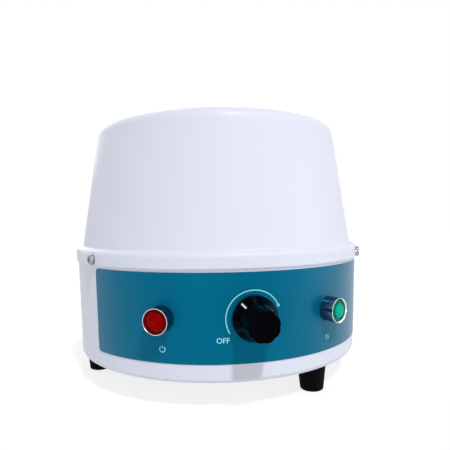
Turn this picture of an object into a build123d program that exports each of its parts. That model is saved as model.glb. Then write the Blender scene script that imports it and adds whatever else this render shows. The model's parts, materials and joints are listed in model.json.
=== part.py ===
from build123d import *
from math import asin, atan, cos, degrees, hypot, pi, radians, sin, sqrt, tan
import os

# Laboratory heating mantle for a one-litre round-bottom flask.
# Units are millimetres.  +Z is up, the bench is z = 0 and the housing's axis of revolution
# is the Z axis.  The control panel and its knob face -Y, the cord gland faces +Y.
# The housing is two spun sheet-metal shells: a drafted pan that carries the controls, and a
# conical cover whose skirt slips over the rim of the pan.

os.makedirs("parts", exist_ok=True)

# ---- Driving dimensions -------------------------------------------------------------------

# Housing shells
sheet = 1.2                     # thickness of the pan and of the cover
foot_height = 18.3              # bench to the underside of the pan
pan_base_radius = 114.2
pan_draft = 1.75                # degrees that the pan's wall leans outward
pan_height = 82.85              # underside of the pan to the top of its flange
pan_corner_radius = 3.0
pan_flange_width = 12.0
rim_band_height = 10.65         # upright band at the pan's rim, hidden by the skirt
cover_fit = 0.15                # all round, between the rim of the pan and the cover
skirt_height = 11.0
skirt_edge_radius = 0.5
shoulder_radius = 4.0
shoulder_blend_radius = 1.0
shoulder_step = 5.15            # skirt to the foot of the cone
cone_top_radius = 98.65
cone_height = 96.0              # shoulder to the cover's top
cover_top_radius = 9.0
mouth_bend_radius = 3.0
mouth_lip_depth = 5.9           # top of the cover to the lower edge of its turned-in lip

# Fits between touching pieces
seat = 0.02                     # pieces that are pressed together
bolt_fit = 0.15                 # radial, screw in a drilled hole
thread_fit = 0.05               # radial, screw in its nut
running_fit = 0.05              # radial, the spindle in its bearings

# Control label
label_thickness = 0.35
label_bottom_z = 30.8
label_top_z = 89.4
label_half_angle = 58.7
label_corner_radius = 3.0
panel_z = 60.0                  # height of the row of controls

# Rim screws (M4)
rim_screw_angles = (60, 180, 300)
rim_screw_rise = 4.0            # above the lower edge of the skirt
m4_radius = 2.0
m4_head_radius = 4.0
m4_head_height = 2.6
m4_nut_across_flats = 7.0
m4_nut_height = 3.2
m3_radius = 1.5
m3_head_radius = 2.9
m3_head_height = 2.0
m3_nut_across_flats = 5.5
m3_nut_height = 2.4
thread_end = 1.0                # screw standing out of its nut
screw_head_dome = 0.6           # rounding of a pan head, as a share of its height
recess_span = 1.1               # cross recess, as a share of the head's radius
recess_width = 0.25
recess_depth = 0.5              # as a share of the head's height
nut_chamfer = 0.04              # taken off a nut's corners, as a share of its width

# Feet
foot_angles = (30, 150, 270)
foot_inset = 13.2               # middle of a foot, in from the pan's base radius
foot_top_radius = 10.15
foot_bottom_radius = 8.2
foot_edge_radius = 1.5
foot_recess_radius = 5.0
foot_recess_depth = 9.0
foot_washer_radius = 4.6
foot_washer_thickness = 0.8

# Ventilation slots in the pan's floor
vent_count = 12
vent_circle_radius = 42.0
vent_length = 20.0
vent_width = 4.0

# Signal lamps
lamp_angle = 29.6
bezel_radius = 9.0
bezel_height = 10.0
bezel_rim_width = 0.8
bezel_edge_radius = 0.3
lamp_well_radius = 7.8          # wide bore behind the bezel's rim
lamp_well_depth = 4.4
lamp_bore_radius = 6.2
lamp_stem_radius = 7.2
lamp_stem_length = 10.0
lamp_fit = 0.1
lens_edge_depth = 2.4           # bezel's rim to the edge of the lens
lens_boss_radius = 4.7
lens_boss_depth = 0.3           # bezel's rim to the foot of the raised middle
lens_boss_height = 0.7
lens_ring_radius = 2.9
lens_ring_width = 0.5
lens_ring_depth = 0.35
lens_dome = 0.4
lens_plug_length = 3.0          # narrow part of the lens behind its flange
lamp_body_radius = 7.6
lamp_body_length = 18.0
lamp_nut_across_flats = 19.0
lamp_nut_height = 3.0
lamp_tab_width = 4.8
lamp_tab_thickness = 0.8
lamp_tab_length = 8.0
lamp_tab_spacing = 7.0

# Knob
knob_gap = 1.0                  # label to the underside of the knob
knob_skirt_radius = 14.7
knob_skirt_edge = 3.4
knob_bevel_height = 6.9
knob_grip_radius = 11.4
knob_front_radius = 9.0
knob_height = 23.1
knob_front_chamfer = 0.6
knob_flute_count = 8
knob_flute_radius = 3.0
knob_flute_depth = 1.1
knob_recess_radius = 9.5
knob_recess_depth = 5.0
knob_bore_depth = 20.0
pointer_angle = 132.0           # degrees, counter-clockwise from the right, seen from the front
pointer_length = 7.0
pointer_width = 1.5
pointer_depth = 0.5
pointer_stand_out = 0.04
set_screw_rise = 14.0
set_screw_sink = 1.0            # set screw's end below the bottom of its flute
set_screw_key_radius = 0.85
set_screw_key_depth = 1.5

# Energy regulator
spindle_radius = 3.0
spindle_flat = 1.0
spindle_end_clearance = 1.5     # spindle's end to the bottom of the knob's bore
spindle_engagement = 12.0
bush_radius = 4.75
bush_shoulder_radius = 7.0
bush_stand_out = 1.2            # bush beyond its nut
bush_nut_across_flats = 14.0
bush_nut_height = 2.4
regulator_width = 40.0
regulator_height = 42.0
regulator_depth = 30.0
regulator_edge_radius = 2.5
regulator_clearance = 0.5       # case to the nearest point of the curved wall
regulator_tab_width = 6.3
regulator_tab_thickness = 0.8
regulator_tab_length = 8.0
regulator_tab_x = 12.0
regulator_tab_y = 10.0

# Cord gland (M20)
gland_z = 45.0
gland_thread_radius = 10.0
gland_hex = 24.0
gland_flange_height = 6.0
gland_inner_length = 9.0        # thread inside the pan
gland_bore_radius = 6.0
gland_neck_radius = 9.0
gland_neck_height = 10.0
gland_cap_hex_height = 9.0
gland_cap_height = 18.8
gland_cap_step = 0.5            # in from the hexagon's flats to the foot of the dome
gland_nose_radius = 8.0
gland_seal_height = 7.0
gland_seal_bore = 4.2
gland_locknut_height = 4.0

# Terminal block and earth stud
block_inset = 42.2              # middle of the block, in from the pan's base radius
block_width = 44.0
block_depth = 18.0
block_height = 15.0
block_edge_radius = 1.0
way_names = ("live_in", "neutral_in", "earth", "neutral_out", "live_out")
way_pitch = 8.0
way_radius = 2.7
way_depth = 5.0
way_rise = 6.0
clamp_screw_radius = 1.7
clamp_screw_length = 5.0
clamp_screw_fit = 0.15
clamp_screw_inset = 4.0
clamp_screw_floor = 0.3         # way to the end of its clamp screw
clamp_slot_width = 0.6
clamp_slot_depth = 0.8
earth_x = -38.0
earth_inset = 24.2              # earth stud, in from the pan's base radius
earth_tag_thickness = 0.8
earth_tag_radius = 4.4
earth_tag_neck = 3.8
earth_barrel_length = 7.0
earth_barrel_depth = 6.0
earth_barrel_wall = 0.5

# Heated nest
flask_radius = 65.5
nest_fit = 1.5                  # flask to the woven nest
nest_thickness = 6.0
nest_lip_radius = 1.4
nest_gap = 0.3                  # nest to the cover's lip
mouth_fit = 3.0                 # flask to the cover's lip
plate_thickness = 1.0
plate_edge_clearance = 1.0      # partition plate to the cover
drum_radius = 88.0
drum_sheet = 0.8
drum_corner_radius = 2.0
drum_gap = 0.2                  # drum to the underside of the cover
soft_fit = 0.2                  # insulation and fabric in the drum
partition_screw_angles = (0, 120, 240)
partition_screw_inset = 8.9     # partition screws, in from the outside of the pan's rim

# Heating element, a wire that lies between the nest and the insulation
element_radius = 0.5
element_bead_radius = 0.8       # crimped beads that join the lengths of wire
element_bead_inset = 0.55       # wire's end to the middle of its bead
element_fit = 0.15
element_row_angles = (79, 63, 47, 31, 15)    # degrees up from the bottom of the nest
element_gap_half = 6.0          # the rows stop short of the return wire
lead_spacing = 2.0              # each lead from the axis

# Grommet and wiring
grommet_bore_radius = 3.5
grommet_neck_radius = 6.0
grommet_flange_radius = 8.0
grommet_flange_height = 2.0
wire_radius = 1.1
wire_gap = 0.1                  # wire to the end of its tab
wire_end_gap = 0.3              # wire to the bottom of its way
wire_bend_radius = 7.0
wire_pair_half = 1.25           # two wires that share a way, each side of its middle
wire_lead_in = 18.0             # straight run into a way
wire_lead_out = 12.0            # straight run from a tab
wire_floor_clearance = 2.0
lead_cross_depth = 15.0         # heater leads that cross the housing, below the partition
lead_cross_step = 7.0           # one lead below the other
lead_drop_inset = 18.2          # heater leads that fall to the block, in from the base radius

# ---- Heights and radii worked out from them -----------------------------------------------

floor_z = foot_height
floor_top_z = floor_z + sheet
pan_top_z = floor_z + pan_height
rim_band_z = pan_top_z - rim_band_height
shoulder_z = pan_top_z + cover_fit + sheet
skirt_bottom_z = shoulder_z - skirt_height
cover_top_z = shoulder_z + cone_height


def wall_radius(z):
    """Outer radius of the pan's drafted wall at height z."""
    return pan_base_radius + (z - floor_z) * tan(radians(pan_draft))


def sagitta(half_width, radius):
    """How far a wall of this radius curves away from a flat face of this half width."""
    return radius - sqrt(radius**2 - half_width**2)


pan_rim_radius = wall_radius(rim_band_z)
skirt_radius = pan_rim_radius + cover_fit + sheet
cone_base_radius = skirt_radius - shoulder_step
rim_corner_radius = shoulder_radius - sheet - cover_fit
mouth_radius = flask_radius + mouth_fit
panel_inner_radius = wall_radius(panel_z) - sheet
panel_face = label_thickness + seat         # outer face of the label, above the bare wall


def wall_plane(angle, z):
    """Plane on the pan's wall, seen from outside, `angle` degrees to the right of the knob."""
    turn = radians(angle)
    lean = radians(pan_draft)
    radius = wall_radius(z)
    return Plane(
        origin=(radius * sin(turn), -radius * cos(turn), z),
        x_dir=(cos(turn), sin(turn), 0),
        z_dir=(sin(turn) * cos(lean), -cos(turn) * cos(lean), -sin(lean)),
    )


def radial_plane(angle, radius, z):
    """Upright plane that faces away from the axis, `angle` degrees to the right of the knob."""
    turn = radians(angle)
    return Plane(
        origin=(radius * sin(turn), -radius * cos(turn), z),
        x_dir=(cos(turn), sin(turn), 0),
        z_dir=(sin(turn), -cos(turn), 0),
    )


def ring_point(angle, radius):
    """Point on a circle about the axis, `angle` degrees to the right of the knob."""
    turn = radians(angle)
    return (radius * sin(turn), -radius * cos(turn))


knob_plane = wall_plane(0, panel_z)
gland_plane = wall_plane(180, gland_z)
rim_screw_z = skirt_bottom_z + rim_screw_rise
foot_circle_radius = pan_base_radius - foot_inset
block_y = pan_base_radius - block_inset
earth_y = pan_base_radius - earth_inset
lead_drop_y = pan_base_radius - lead_drop_inset
lead_cross_z = pan_top_z - lead_cross_depth
foot_points = [ring_point(angle, foot_circle_radius) for angle in foot_angles]
block_screw_points = [(side * 1.5 * way_pitch, block_y) for side in (-1, 1)]
way_x = {
    name: (number - (len(way_names) - 1) / 2) * way_pitch for number, name in enumerate(way_names)
}

plate_top_z = pan_top_z + plate_thickness
partition_screw_radius = pan_rim_radius - partition_screw_inset
partition_points = [ring_point(angle, partition_screw_radius) for angle in partition_screw_angles]


def save(builder, label):
    """Names a finished piece and writes its STEP file."""
    builder.part.label = label
    export_step(builder.part, f"parts/{label}.step")


def pan_head_screw(plane, radius, length, head_radius, head_height):
    """Cross-recessed screw.  The plane lies under its head and faces out of it."""
    with BuildPart() as screw:
        with BuildSketch(plane):
            Circle(head_radius)
        extrude(amount=head_height)
        rim = screw.faces().sort_by(Axis(plane.origin, plane.z_dir))[-1].edges()
        fillet(rim, screw_head_dome * head_height)
        with BuildSketch(plane):
            Circle(radius)
        extrude(amount=-length)
        with BuildSketch(plane.offset(head_height)):
            Rectangle(recess_span * head_radius, recess_width * head_radius)
            Rectangle(recess_width * head_radius, recess_span * head_radius)
        extrude(amount=-recess_depth * head_height, mode=Mode.SUBTRACT)
    return screw.part


def hex_nut(plane, across_flats, bore_radius, height):
    """Plain nut that stands on the plane, bored through, with chamfered corners."""
    corner = across_flats / sqrt(3)
    with BuildPart() as nut:
        with BuildSketch(plane):
            RegularPolygon(corner, 6)
        extrude(amount=height)
        with BuildSketch(plane):
            Circle(corner - nut_chamfer * across_flats)
        extrude(amount=height, mode=Mode.INTERSECT)
        with BuildSketch(plane):
            Circle(bore_radius)
        extrude(amount=height, mode=Mode.SUBTRACT)
    return nut.part


# ---- Lower housing: the pan ---------------------------------------------------------------

with BuildPart() as lower_housing:
    with BuildSketch(Plane.XZ):
        with BuildLine():
            FilletPolyline(
                (0, floor_z),
                (pan_base_radius, floor_z),
                (pan_rim_radius, rim_band_z),
                (pan_rim_radius, pan_top_z),
                (pan_rim_radius - sheet - pan_flange_width, pan_top_z),
                radius=[pan_corner_radius, pan_corner_radius, rim_corner_radius],
            )
            offset(amount=-sheet, side=Side.LEFT)
        make_face()
    revolve(axis=Axis.Z)
    # openings for the controls and the gland
    with BuildSketch(knob_plane):
        Circle(bush_radius + bolt_fit)
    extrude(amount=2 * sheet, both=True, mode=Mode.SUBTRACT)
    for side in (-1, 1):
        with BuildSketch(wall_plane(side * lamp_angle, panel_z)):
            Circle(lamp_stem_radius + bolt_fit)
        extrude(amount=2 * sheet, both=True, mode=Mode.SUBTRACT)
    with BuildSketch(gland_plane):
        Circle(gland_thread_radius + bolt_fit)
    extrude(amount=2 * sheet, both=True, mode=Mode.SUBTRACT)
    # screw holes in the rim, the flange and the floor
    for angle in rim_screw_angles:
        with BuildSketch(radial_plane(angle, pan_rim_radius, rim_screw_z)):
            Circle(m4_radius + bolt_fit)
        extrude(amount=2 * sheet, both=True, mode=Mode.SUBTRACT)
    with BuildSketch(Plane.XY.offset(pan_top_z)):
        with Locations(*partition_points):
            Circle(m3_radius + bolt_fit)
    extrude(amount=-2 * sheet, mode=Mode.SUBTRACT)
    with BuildSketch(Plane.XY.offset(floor_z)):
        with Locations(*foot_points, (earth_x, earth_y)):
            Circle(m4_radius + bolt_fit)
        with Locations(*block_screw_points):
            Circle(m3_radius + bolt_fit)
        with PolarLocations(vent_circle_radius, vent_count, start_angle=360 / vent_count / 2):
            SlotOverall(vent_length, vent_width)
    extrude(amount=sheet, mode=Mode.SUBTRACT)
save(lower_housing, "lower_housing")

# ---- Upper cover --------------------------------------------------------------------------

with BuildPart() as upper_cover:
    with BuildSketch(Plane.XZ):
        with BuildLine():
            FilletPolyline(
                (skirt_radius, skirt_bottom_z),
                (skirt_radius, shoulder_z),
                (cone_base_radius, shoulder_z),
                (cone_top_radius, cover_top_z),
                (mouth_radius, cover_top_z),
                (mouth_radius, cover_top_z - mouth_lip_depth),
                radius=[shoulder_radius, shoulder_blend_radius, cover_top_radius, mouth_bend_radius],
            )
            offset(amount=-sheet, side=Side.LEFT)
        make_face()
    revolve(axis=Axis.Z)
    skirt_edges = upper_cover.edges().filter_by(GeomType.CIRCLE).group_by(Axis.Z)[0]
    fillet(skirt_edges.sort_by(SortBy.RADIUS)[-1], skirt_edge_radius)
    for angle in rim_screw_angles:
        with BuildSketch(radial_plane(angle, skirt_radius, rim_screw_z)):
            Circle(m4_radius + bolt_fit)
        extrude(amount=2 * sheet, both=True, mode=Mode.SUBTRACT)
save(upper_cover, "upper_cover")

# ---- Rim screws and their nuts ------------------------------------------------------------

rim_nut_radius = pan_rim_radius - sheet
rim_nut_face = rim_nut_radius - sagitta(m4_nut_across_flats / sqrt(3), rim_nut_radius) - seat
rim_screw_length = skirt_radius - rim_nut_face + m4_nut_height + thread_end
screws = [
    pan_head_screw(radial_plane(angle, skirt_radius + seat, rim_screw_z),
                   m4_radius, rim_screw_length, m4_head_radius, m4_head_height)
    for angle in rim_screw_angles
]
with BuildPart() as rim_screws:
    add(screws)
save(rim_screws, "rim_screws")

nuts = [
    hex_nut(radial_plane(angle, rim_nut_face - m4_nut_height, rim_screw_z),
            m4_nut_across_flats, m4_radius + thread_fit, m4_nut_height)
    for angle in rim_screw_angles
]
with BuildPart() as rim_nuts:
    add(nuts)
save(rim_nuts, "rim_nuts")

# ---- Control label, a self-adhesive overlay on the drafted wall ---------------------------

label_inner_bottom = wall_radius(label_bottom_z) + seat
label_inner_top = wall_radius(label_top_z) + seat
with BuildPart() as control_label:
    with BuildSketch(Plane.XZ.rotated((0, 0, 270 - label_half_angle))):
        Polygon(
            (label_inner_bottom, label_bottom_z),
            (label_inner_bottom + label_thickness, label_bottom_z),
            (label_inner_top + label_thickness, label_top_z),
            (label_inner_top, label_top_z),
            align=None,
        )
    revolve(axis=Axis.Z, revolution_arc=2 * label_half_angle)
    corners = control_label.edges().filter_by(lambda edge: edge.length < 2 * label_thickness)
    fillet(corners, label_corner_radius)
    with BuildSketch(knob_plane):
        Circle(bush_radius + bolt_fit)
    extrude(amount=2 * sheet, both=True, mode=Mode.SUBTRACT)
    for side in (-1, 1):
        with BuildSketch(wall_plane(side * lamp_angle, panel_z)):
            Circle(lamp_stem_radius + bolt_fit)
        extrude(amount=2 * sheet, both=True, mode=Mode.SUBTRACT)
save(control_label, "control_label")

# ---- Feet ---------------------------------------------------------------------------------

foot_taper = degrees(atan((foot_top_radius - foot_bottom_radius) / foot_height))
for number, (foot_x, foot_y) in enumerate(foot_points, start=1):
    with BuildPart() as foot:
        with BuildSketch(Plane((foot_x, foot_y, 0))):
            Circle(foot_bottom_radius)
        extrude(amount=foot_height, taper=-foot_taper)
        fillet(foot.faces().sort_by(Axis.Z)[0].edges(), foot_edge_radius)
        with Locations(Plane((foot_x, foot_y, 0), z_dir=(0, 0, -1))):
            CounterBoreHole(m4_radius + bolt_fit, foot_recess_radius, foot_recess_depth)
    save(foot, f"foot_{number}")

washer_bottom_z = foot_recess_depth - foot_washer_thickness
with BuildPart() as foot_washers:
    with BuildSketch(Plane.XY.offset(washer_bottom_z)):
        with Locations(*foot_points):
            Circle(foot_washer_radius)
            Circle(m4_radius + bolt_fit, mode=Mode.SUBTRACT)
    extrude(amount=foot_washer_thickness)
save(foot_washers, "foot_washers")

foot_screw_length = floor_top_z - washer_bottom_z + m4_nut_height + thread_end
screws = [
    pan_head_screw(Plane((x, y, washer_bottom_z), z_dir=(0, 0, -1)),
                   m4_radius, foot_screw_length, m4_head_radius, m4_head_height)
    for x, y in foot_points
]
with BuildPart() as foot_screws:
    add(screws)
save(foot_screws, "foot_screws")

nuts = [
    hex_nut(Plane((x, y, floor_top_z)), m4_nut_across_flats, m4_radius + thread_fit, m4_nut_height)
    for x, y in foot_points
]
with BuildPart() as foot_nuts:
    add(nuts)
save(foot_nuts, "foot_nuts")

# ---- Signal lamps: chrome bezel, lens, holder, nut and two tabs each ----------------------

lamp_base = panel_face + seat               # the bezel stands on the label
lamp_top = lamp_base + bezel_height
stem_end = -sheet - lamp_stem_length
lamp_well_floor = lamp_top - lamp_well_depth
lens_edge = lamp_top - lens_edge_depth
lens_boss_foot = lamp_top - lens_boss_depth
lens_boss_top = lens_boss_foot + lens_boss_height
lens_bottom = lamp_well_floor - lens_plug_length
lens_flange_radius = lamp_well_radius - lamp_fit
lens_plug_radius = lamp_bore_radius - lamp_fit
lens_dome_radius = (lens_ring_radius**2 + lens_dome**2) / (2 * lens_dome)
lamp_nut_corner = lamp_nut_across_flats / sqrt(3)
lamp_nut_face = -sheet - sagitta(lamp_nut_corner, panel_inner_radius) - seat
holder_end = stem_end - seat - lamp_body_length

for name, side in (("power", -1), ("pilot", 1)):
    plane = wall_plane(side * lamp_angle, panel_z)
    side_plane = Plane(origin=plane.origin, x_dir=plane.x_dir, z_dir=-plane.y_dir)
    lamp_axis = Axis(plane.origin, plane.z_dir)

    with BuildPart() as bezel:
        with BuildSketch(side_plane):
            Polygon(
                (lamp_bore_radius, stem_end),
                (lamp_stem_radius, stem_end),
                (lamp_stem_radius, lamp_base),
                (bezel_radius, lamp_base),
                (bezel_radius, lamp_top),
                (bezel_radius - bezel_rim_width, lamp_top),
                (lamp_well_radius, lens_edge),
                (lamp_well_radius, lamp_well_floor),
                (lamp_bore_radius, lamp_well_floor),
                align=None,
            )
        revolve(axis=lamp_axis)
        fillet(bezel.edges().filter_by(GeomType.CIRCLE).group_by(lamp_axis)[-1], bezel_edge_radius)
    save(bezel, f"{name}_lamp_bezel")

    with BuildPart() as lens:
        with BuildSketch(side_plane):
            with BuildLine():
                Polyline(
                    (0, lens_boss_top + lens_dome),
                    (0, lens_bottom),
                    (lens_plug_radius, lens_bottom),
                    (lens_plug_radius, lamp_well_floor + seat),
                    (lens_flange_radius, lamp_well_floor + seat),
                    (lens_flange_radius, lens_edge),
                    (lens_boss_radius, lens_boss_foot),
                    (lens_boss_radius, lens_boss_top),
                    (lens_ring_radius + lens_ring_width, lens_boss_top),
                    (lens_ring_radius + lens_ring_width / 2, lens_boss_top - lens_ring_depth),
                    (lens_ring_radius, lens_boss_top),
                )
                RadiusArc((lens_ring_radius, lens_boss_top), (0, lens_boss_top + lens_dome),
                          -lens_dome_radius)
            make_face()
        revolve(axis=lamp_axis)
    save(lens, f"{name}_lamp_lens")

    with BuildPart() as holder:
        with BuildSketch(plane.offset(stem_end - seat)):
            Circle(lamp_body_radius)
        extrude(amount=-lamp_body_length)
        with BuildSketch(plane.offset(stem_end - seat)):
            Circle(lens_plug_radius)
        extrude(amount=lens_bottom - stem_end)
    save(holder, f"{name}_lamp_holder")

    nut = hex_nut(plane.offset(lamp_nut_face - lamp_nut_height), lamp_nut_across_flats,
                  lamp_stem_radius + thread_fit, lamp_nut_height)
    with BuildPart() as lamp_nut:
        add(nut)
    save(lamp_nut, f"{name}_lamp_nut")

    with BuildPart() as tabs:
        with BuildSketch(plane.offset(holder_end)):
            with GridLocations(lamp_tab_spacing, 0, 2, 1):
                Rectangle(lamp_tab_thickness, lamp_tab_width)
        extrude(amount=-lamp_tab_length)
    save(tabs, f"{name}_lamp_tabs")

# ---- Energy regulator ---------------------------------------------------------------------

regulator_face = -(sheet + sagitta(regulator_width / 2, panel_inner_radius) + regulator_clearance)
regulator_back = regulator_face - regulator_depth
bush_shoulder_face = -(sheet + sagitta(bush_shoulder_radius, panel_inner_radius) + seat)
bush_nut_base = panel_face + seat
bush_end = bush_nut_base + bush_nut_height + bush_stand_out
spindle_bottom = regulator_face - spindle_engagement
knob_base = panel_face + knob_gap
spindle_end = knob_base + knob_bore_depth - spindle_end_clearance

with BuildPart() as regulator_case:
    with BuildSketch(knob_plane.offset(regulator_back)):
        RectangleRounded(regulator_width, regulator_height, regulator_edge_radius)
    extrude(amount=regulator_depth)
    with BuildSketch(knob_plane.offset(regulator_face)):
        Circle(spindle_radius + running_fit)
    extrude(amount=-spindle_engagement - running_fit, mode=Mode.SUBTRACT)
save(regulator_case, "regulator_case")

with BuildPart() as regulator_bush:
    with BuildSketch(knob_plane.offset(regulator_face + seat)):
        Circle(bush_shoulder_radius)
    extrude(amount=bush_shoulder_face - regulator_face - seat)
    with BuildSketch(knob_plane.offset(bush_shoulder_face)):
        Circle(bush_radius)
    extrude(amount=bush_end - bush_shoulder_face)
    with BuildSketch(knob_plane.offset(bush_end)):
        Circle(spindle_radius + running_fit)
    extrude(amount=regulator_face - bush_end, mode=Mode.SUBTRACT)
save(regulator_bush, "regulator_bush")

nut = hex_nut(knob_plane.offset(bush_nut_base), bush_nut_across_flats,
              bush_radius + thread_fit, bush_nut_height)
with BuildPart() as regulator_nut:
    add(nut)
save(regulator_nut, "regulator_nut")

with BuildPart() as regulator_tabs:
    with BuildSketch(knob_plane.offset(regulator_back)):
        with GridLocations(2 * regulator_tab_x, 2 * regulator_tab_y, 2, 2):
            Rectangle(regulator_tab_thickness, regulator_tab_width)
    extrude(amount=-regulator_tab_length)
save(regulator_tabs, "regulator_tabs")

with BuildPart() as regulator_spindle:
    with BuildSketch(knob_plane.offset(spindle_bottom)):
        Circle(spindle_radius)
    extrude(amount=spindle_end - spindle_bottom)
    with BuildSketch(knob_plane.offset(knob_base + knob_recess_depth)):
        with Locations(Location((0, 0), pointer_angle)):
            with Locations((-spindle_radius, 0)):
                Rectangle(2 * spindle_flat, 2 * spindle_radius)
    extrude(amount=knob_bore_depth, mode=Mode.SUBTRACT)
save(regulator_spindle, "regulator_spindle")

# ---- Knob: fluted grip on a bevelled skirt ------------------------------------------------

bevel_run = knob_skirt_radius - knob_grip_radius
bevel_length = hypot(bevel_run, knob_bevel_height)
bevel_angle = degrees(atan(bevel_run / knob_bevel_height))
bevel_top = knob_base + knob_skirt_edge + knob_bevel_height
set_screw_z = knob_base + set_screw_rise


def grip_section(scale):
    """Cross-section of the fluted grip, drawn in the sketch that is open."""
    Circle(scale * knob_grip_radius)
    with PolarLocations(scale * (knob_grip_radius + knob_flute_radius - knob_flute_depth),
                        knob_flute_count, start_angle=pointer_angle):
        Circle(scale * knob_flute_radius, mode=Mode.SUBTRACT)


bevel_middle = Vector(cos(radians(pointer_angle)), sin(radians(pointer_angle)), 0)
bevel_normal = bevel_middle * (knob_bevel_height / bevel_length) + Vector(0, 0, bevel_run / bevel_length)
pointer_centre = bevel_middle * (knob_skirt_radius - bevel_run / 2) + Vector(
    0, 0, knob_base + knob_skirt_edge + knob_bevel_height / 2)
across_pointer = Vector(0, 0, 1).cross(bevel_middle)
pointer_plane = Plane(
    origin=knob_plane.from_local_coords(pointer_centre),
    x_dir=knob_plane.from_local_coords(across_pointer) - knob_plane.origin,
    z_dir=knob_plane.from_local_coords(bevel_normal) - knob_plane.origin,
)
set_screw_direction = -bevel_middle
set_screw_plane = Plane(
    origin=knob_plane.from_local_coords(Vector(0, 0, set_screw_z)),
    x_dir=knob_plane.z_dir,
    z_dir=knob_plane.from_local_coords(set_screw_direction) - knob_plane.origin,
)

with BuildPart() as knob:
    with BuildSketch(knob_plane.offset(knob_base)):
        Circle(knob_skirt_radius)
    extrude(amount=knob_skirt_edge)
    with BuildSketch(knob_plane.offset(knob_base + knob_skirt_edge)):
        Circle(knob_skirt_radius)
    extrude(amount=knob_bevel_height, taper=bevel_angle)
    with BuildSketch(knob_plane.offset(bevel_top)):
        grip_section(1)
    with BuildSketch(knob_plane.offset(knob_base + knob_height - knob_front_chamfer)):
        grip_section(knob_front_radius / knob_grip_radius)
    with BuildSketch(knob_plane.offset(knob_base + knob_height)):
        grip_section((knob_front_radius - knob_front_chamfer) / knob_grip_radius)
    loft(ruled=True)
    with BuildSketch(knob_plane.offset(knob_base)):
        Circle(knob_recess_radius)
    extrude(amount=knob_recess_depth, mode=Mode.SUBTRACT)
    # D-shaped bore for the spindle
    with BuildSketch(knob_plane.offset(knob_base)):
        Circle(spindle_radius + seat)
        with Locations(Location((0, 0), pointer_angle)):
            with Locations((-spindle_radius, 0)):
                Rectangle(2 * (spindle_flat - seat), 3 * spindle_radius, mode=Mode.SUBTRACT)
    extrude(amount=knob_bore_depth, mode=Mode.SUBTRACT)
    # groove for the pointer and hole for the set screw
    with BuildSketch(pointer_plane):
        Rectangle(pointer_width + 2 * seat, pointer_length + 2 * seat)
    extrude(amount=-pointer_depth - seat, mode=Mode.SUBTRACT)
    with BuildSketch(set_screw_plane):
        Circle(m3_radius + thread_fit)
    extrude(amount=knob_grip_radius, mode=Mode.SUBTRACT)
save(knob, "knob")

with BuildPart() as knob_pointer:
    with BuildSketch(pointer_plane.offset(-pointer_depth)):
        Rectangle(pointer_width, pointer_length)
    extrude(amount=pointer_depth + pointer_stand_out)
save(knob_pointer, "knob_pointer")

set_screw_start = spindle_radius - spindle_flat + seat
set_screw_length = knob_front_radius - knob_flute_depth - set_screw_start - set_screw_sink
with BuildPart() as knob_set_screw:
    with BuildSketch(set_screw_plane.offset(set_screw_start)):
        Circle(m3_radius)
    extrude(amount=set_screw_length)
    with BuildSketch(set_screw_plane.offset(set_screw_start + set_screw_length)):
        RegularPolygon(set_screw_key_radius, 6)
    extrude(amount=-set_screw_key_depth, mode=Mode.SUBTRACT)
save(knob_set_screw, "knob_set_screw")

# ---- Cord gland ---------------------------------------------------------------------------

gland_neck_base = gland_flange_height + seat
gland_neck_end = gland_neck_base + gland_neck_height
gland_cap_base = gland_neck_base + seat
gland_cap_end = gland_cap_base + gland_cap_height
gland_corner = gland_hex / sqrt(3)
gland_inner_radius = wall_radius(gland_z) - sheet
gland_locknut_face = -sheet - sagitta(gland_corner, gland_inner_radius) - seat
gland_side_plane = Plane(origin=gland_plane.origin, x_dir=gland_plane.x_dir, z_dir=-gland_plane.y_dir)
gland_axis = Axis(gland_plane.origin, gland_plane.z_dir)

with BuildPart() as gland_body:
    with BuildSketch(gland_plane.offset(seat)):
        RegularPolygon(gland_corner, 6)
    extrude(amount=gland_flange_height)
    with BuildSketch(gland_plane.offset(seat)):
        Circle(gland_thread_radius)
    extrude(amount=-(seat + sheet + gland_inner_length))
    with BuildSketch(gland_plane.offset(gland_neck_base)):
        Circle(gland_neck_radius)
    extrude(amount=gland_neck_height)
    with BuildSketch(gland_plane.offset(gland_neck_end)):
        Circle(gland_bore_radius)
    extrude(amount=-(gland_neck_end + sheet + gland_inner_length), mode=Mode.SUBTRACT)
save(gland_body, "gland_body")

gland_socket_radius = gland_neck_radius + thread_fit
gland_socket_end = gland_neck_end + gland_seal_height
gland_dome_radius = gland_hex / 2 - gland_cap_step
with BuildPart() as gland_cap:
    with BuildSketch(gland_side_plane):
        with BuildLine():
            Polyline(
                (gland_socket_radius, gland_cap_base),
                (gland_corner, gland_cap_base),
                (gland_corner, gland_cap_base + gland_cap_hex_height),
                (gland_dome_radius, gland_cap_base + gland_cap_hex_height),
            )
            RadiusArc(
                (gland_dome_radius, gland_cap_base + gland_cap_hex_height),
                (gland_nose_radius, gland_cap_end),
                -gland_cap_height,
            )
            Polyline(
                (gland_nose_radius, gland_cap_end),
                (gland_bore_radius, gland_cap_end),
                (gland_bore_radius, gland_socket_end + seat),
                (gland_socket_radius, gland_neck_end + seat),
                (gland_socket_radius, gland_cap_base),
            )
        make_face()
    revolve(axis=gland_axis)
    with BuildSketch(gland_plane.offset(gland_cap_base)):
        RegularPolygon(gland_corner, 6)
    extrude(amount=gland_cap_height, mode=Mode.INTERSECT)
save(gland_cap, "gland_cap")

with BuildPart() as gland_seal:
    with BuildSketch(gland_side_plane):
        Polygon(
            (gland_seal_bore, gland_neck_end + seat),
            (gland_socket_radius - soft_fit, gland_neck_end + seat),
            (gland_bore_radius - soft_fit, gland_socket_end),
            (gland_seal_bore, gland_socket_end),
            align=None,
        )
    revolve(axis=gland_axis)
save(gland_seal, "gland_seal")

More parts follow.
